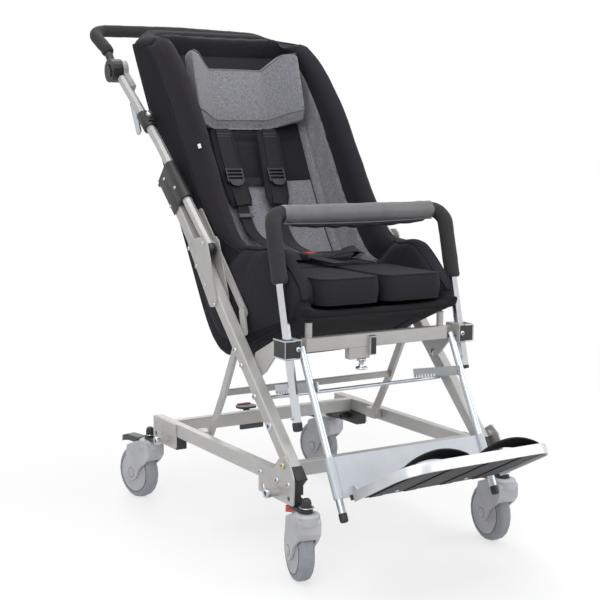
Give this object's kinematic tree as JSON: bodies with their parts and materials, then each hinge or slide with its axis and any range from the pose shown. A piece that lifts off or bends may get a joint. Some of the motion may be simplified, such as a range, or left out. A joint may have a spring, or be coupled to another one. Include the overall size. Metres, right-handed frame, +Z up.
{
  "type": "special needs stroller",
  "caption": "Folding special needs stroller with a padded tilting seat, harness, headrest, safety bar, leg rest with footplate and swivel casters.",
  "frame": {"origin": "centre of the footprint on the floor", "axes": "+X to the seated person's left, +Y to the rear, +Z up"},
  "size_m": [0.592, 1.2986, 1.1452],
  "materials": {
    "frame_paint": "satin powder coat",
    "black_plastic": "moulded",
    "caster_grey": "moulded",
    "tyre_grey": "matt",
    "pedal_red": "moulded",
    "pedal_grey": "moulded",
    "zinc": "zinc plated",
    "chrome": "polished",
    "foam": "foam",
    "black_fabric": "woven",
    "grey_fabric": "melange weave",
    "vinyl": "vinyl",
    "webbing": "webbing",
    "mat_black": "ribbed"
  },
  "bodies": {
    "frame": {"base_frame": "frame_paint", "brace_frame": "frame_paint", "seat_cross_tube": "frame_paint", "foot_rod": "zinc", "rear_plate.R": "frame_paint", "front_plate.R": "frame_paint", "caster_block.front.R": "black_plastic", "caster_block.rear.R": "black_plastic", "main_tube.R": "frame_paint", "hinge_plates.R": "frame_paint", "bar_clamp.R": "black_plastic", "rear_plate.L": "frame_paint", "front_plate.L": "frame_paint", "caster_block.front.L": "black_plastic", "caster_block.rear.L": "black_plastic", "main_tube.L": "frame_paint", "hinge_plates.L": "frame_paint", "bar_clamp.L": "black_plastic"},
    "caster_front_R": {"caster_fork.front.R": "caster_grey"},
    "wheel_front_R": {"caster_wheel.front.R": "tyre_grey"},
    "pedal_front_R": {"caster_pedal.front.R": "pedal_red"},
    "caster_front_L": {"caster_fork.front.L": "caster_grey"},
    "wheel_front_L": {"caster_wheel.front.L": "tyre_grey"},
    "pedal_front_L": {"caster_pedal.front.L": "pedal_red"},
    "caster_rear_R": {"caster_fork.rear.R": "caster_grey"},
    "wheel_rear_R": {"caster_wheel.rear.R": "tyre_grey"},
    "pedal_rear_R": {"caster_pedal.rear.R": "pedal_grey"},
    "caster_rear_L": {"caster_fork.rear.L": "caster_grey"},
    "wheel_rear_L": {"caster_wheel.rear.L": "tyre_grey"},
    "pedal_rear_L": {"caster_pedal.rear.L": "pedal_grey"},
    "rear_pedal": {"rear_pedal": "pedal_grey"},
    "index_knob": {"index_knob": "zinc"},
    "push_frame": {"push_tube.R": "frame_paint", "push_tube.L": "frame_paint", "lock_sleeve.R": "black_plastic", "lock_sleeve.L": "black_plastic"},
    "handle": {"handle_bar": "black_plastic", "handle_grip": "foam"},
    "lever_R": {"sleeve_lever.R": "black_plastic"},
    "hub_button_R": {"hub_button.R": "black_plastic"},
    "lever_L": {"sleeve_lever.L": "black_plastic"},
    "hub_button_L": {"hub_button.L": "black_plastic"},
    "seat": {"seat_shell": "black_fabric", "seat_cushion": "black_fabric", "harness": "webbing", "side_bar.R": "frame_paint", "side_bar.L": "frame_paint"},
    "headrest": {"headrest": "grey_fabric"},
    "buckle_button": {"buckle_button": "pedal_red"},
    "safety_bar": {"safety_bar": "chrome", "bar_foam": "foam", "bar_pad": "vinyl"},
    "bar_pin": {"bar_pin": "zinc"},
    "leg_rest": {"leg_tube.R": "zinc", "leg_tube.L": "zinc"},
    "tooth_R": {"tooth_plate.R": "zinc"},
    "tooth_L": {"tooth_plate.L": "zinc"},
    "foot_carriage": {"calf_panel": "zinc"},
    "footplate": {"footplate": "mat_black"}
  },
  "joints": [
    {"name": "swivel_front_R", "type": "hinge", "parent": "frame", "child": "caster_front_R", "pos_m": [-0.249, -0.41687, 0.1502], "axis": [0, 0, 1], "continuous": true},
    {"name": "wheel_spin_front_R", "type": "hinge", "parent": "caster_front_R", "child": "wheel_front_R", "pos_m": [-0.23743, -0.37339, 0.0625], "axis": [0.9664, -0.2571, 0], "continuous": true},
    {"name": "brake_front_R", "type": "hinge", "parent": "caster_front_R", "child": "pedal_front_R", "pos_m": [-0.24026, -0.38402, 0.1458], "axis": [-0.9664, 0.2571, 0], "range_deg": [0, 7], "stiffness_Nm_per_rad": 0.6},
    {"name": "swivel_front_L", "type": "hinge", "parent": "frame", "child": "caster_front_L", "pos_m": [0.249, -0.41687, 0.1502], "axis": [0, 0, 1], "continuous": true},
    {"name": "wheel_spin_front_L", "type": "hinge", "parent": "caster_front_L", "child": "wheel_front_L", "pos_m": [0.25456, -0.37222, 0.0625], "axis": [0.9923, -0.1236, 0], "continuous": true},
    {"name": "brake_front_L", "type": "hinge", "parent": "caster_front_L", "child": "pedal_front_L", "pos_m": [0.2532, -0.38314, 0.1458], "axis": [-0.9923, 0.1236, 0], "range_deg": [0, 7], "stiffness_Nm_per_rad": 0.6},
    {"name": "swivel_rear_R", "type": "hinge", "parent": "frame", "child": "caster_rear_R", "pos_m": [-0.2576, 0.26853, 0.1502], "axis": [0, 0, 1], "continuous": true},
    {"name": "wheel_spin_rear_R", "type": "hinge", "parent": "caster_rear_R", "child": "wheel_rear_R", "pos_m": [-0.26696, 0.31254, 0.0625], "axis": [0.9781, 0.2079, 0], "continuous": true},
    {"name": "brake_rear_R", "type": "hinge", "parent": "caster_rear_R", "child": "pedal_rear_R", "pos_m": [-0.26467, 0.30178, 0.1458], "axis": [-0.9781, -0.2079, 0], "range_deg": [0, 7], "stiffness_Nm_per_rad": 0.6},
    {"name": "swivel_rear_L", "type": "hinge", "parent": "frame", "child": "caster_rear_L", "pos_m": [0.2576, 0.26853, 0.1502], "axis": [0, 0, 1], "continuous": true},
    {"name": "wheel_spin_rear_L", "type": "hinge", "parent": "caster_rear_L", "child": "wheel_rear_L", "pos_m": [0.24979, 0.31284, 0.0625], "axis": [0.9848, 0.1736, 0], "continuous": true},
    {"name": "brake_rear_L", "type": "hinge", "parent": "caster_rear_L", "child": "pedal_rear_L", "pos_m": [0.2517, 0.30201, 0.1458], "axis": [-0.9848, -0.1736, 0], "range_deg": [0, 7], "stiffness_Nm_per_rad": 0.6},
    {"name": "rear_pedal_press", "type": "hinge", "parent": "frame", "child": "rear_pedal", "pos_m": [0, 0.17843, 0.192], "axis": [-1, 0, 0], "range_deg": [0, 14], "stiffness_Nm_per_rad": 1},
    {"name": "index_pull", "type": "slide", "parent": "frame", "child": "index_knob", "axis": [0, 0, -1], "range_m": [0, 0.008], "stiffness_N_per_m": 600},
    {"name": "fold", "type": "hinge", "parent": "frame", "child": "push_frame", "pos_m": [0, 0.00313, 0.638], "axis": [1, 0, 0], "range_deg": [0, 95]},
    {"name": "handle_angle", "type": "hinge", "parent": "push_frame", "child": "handle", "pos_m": [0, 0.47613, 1.021], "axis": [1, 0, 0], "range_deg": [-50, 60]},
    {"name": "lever_R_lift", "type": "hinge", "parent": "push_frame", "child": "lever_R", "pos_m": [-0.24, 0.19974, 0.77017], "axis": [1, 0, 0], "range_deg": [0, 25], "stiffness_Nm_per_rad": 0.4},
    {"name": "hub_button_R_press", "type": "slide", "parent": "handle", "child": "hub_button_R", "axis": [1, 0, 0], "range_m": [0, 0.003], "stiffness_N_per_m": 500},
    {"name": "lever_L_lift", "type": "hinge", "parent": "push_frame", "child": "lever_L", "pos_m": [0.24, 0.19974, 0.77017], "axis": [1, 0, 0], "range_deg": [0, 25], "stiffness_Nm_per_rad": 0.4},
    {"name": "hub_button_L_press", "type": "slide", "parent": "handle", "child": "hub_button_L", "axis": [-1, 0, 0], "range_m": [0, 0.003], "stiffness_N_per_m": 500},
    {"name": "seat_tilt", "type": "hinge", "parent": "frame", "child": "seat", "pos_m": [0, -0.12287, 0.502], "axis": [-1, 0, 0], "range_deg": [0, 15]},
    {"name": "headrest_height", "type": "slide", "parent": "seat", "child": "headrest", "axis": [0, 0.4337, 0.9011], "range_m": [0, 0.05]},
    {"name": "buckle_press", "type": "slide", "parent": "seat", "child": "buckle_button", "axis": [0, 0, -1], "range_m": [0, 0.0012], "stiffness_N_per_m": 500},
    {"name": "bar_lift", "type": "slide", "parent": "frame", "child": "safety_bar", "axis": [0, 0.247, 0.969], "range_m": [0, 0.05]},
    {"name": "bar_pin_press", "type": "slide", "parent": "safety_bar", "child": "bar_pin", "axis": [1, 0, 0], "range_m": [0, 0.003], "stiffness_N_per_m": 500},
    {"name": "leg_swing", "type": "hinge", "parent": "frame", "child": "leg_rest", "pos_m": [0, -0.30137, 0.4445], "axis": [-1, 0, 0], "range_deg": [0, 55]},
    {"name": "tooth_R_turn", "type": "hinge", "parent": "leg_rest", "child": "tooth_R", "pos_m": [-0.19, -0.33679, 0.376], "axis": [-1, 0, 0], "range_deg": [-50, 5]},
    {"name": "tooth_L_turn", "type": "hinge", "parent": "leg_rest", "child": "tooth_L", "pos_m": [0.19, -0.33679, 0.376], "axis": [-1, 0, 0], "range_deg": [-50, 5]},
    {"name": "foot_height", "type": "slide", "parent": "leg_rest", "child": "foot_carriage", "axis": [0, 0.4593, 0.8883], "range_m": [0, 0.06]},
    {"name": "footplate_flip", "type": "hinge", "parent": "foot_carriage", "child": "footplate", "pos_m": [0, -0.46062, 0.17896], "axis": [-1, 0, 0], "range_deg": [0, 55]}
  ],
  "couplings": [
    {"joint": "tooth_R_turn", "follows": "leg_swing", "ratio": -0.85},
    {"joint": "tooth_L_turn", "follows": "leg_swing", "ratio": -0.85}
  ]
}
